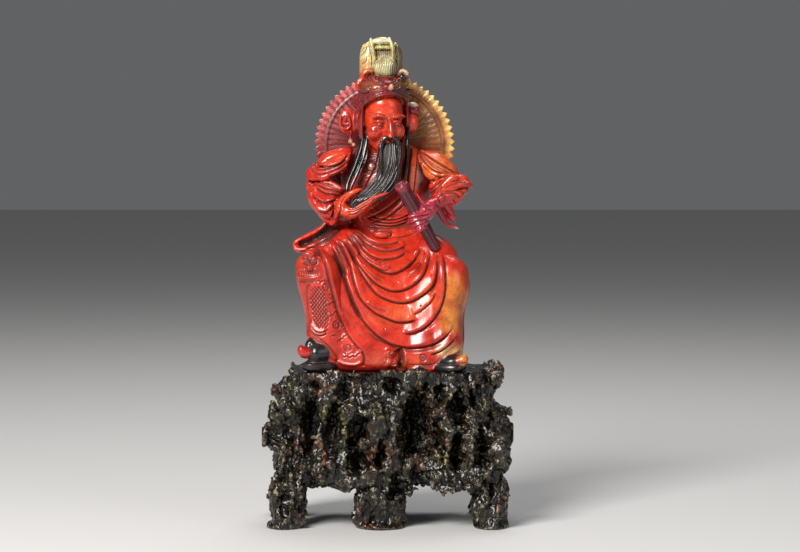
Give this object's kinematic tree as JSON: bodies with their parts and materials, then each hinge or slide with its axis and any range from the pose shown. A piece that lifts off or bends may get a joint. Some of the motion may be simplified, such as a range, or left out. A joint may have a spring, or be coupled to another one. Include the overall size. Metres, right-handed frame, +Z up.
{
  "type": "guan yu statue",
  "caption": "Carved soapstone figure of a seated, bearded general stroking the beard and holding a rolled document, on a rockwork stand of dark carved wood",
  "frame": {"origin": "on the surface the stand rests on, under the middle of the whole part", "axes": "+Z up, +X to the viewer's right, the figure looks along -Y"},
  "size_m": [0.141, 0.092, 0.2726],
  "materials": {
    "soapstone": "polished red banded soapstone with darker and amber areas",
    "dark_wood": "near-black lacquered wood, rough carved rockwork"
  },
  "bodies": {
    "root": {"figure": "soapstone", "plinth": "dark_wood"}
  },
  "joints": []
}
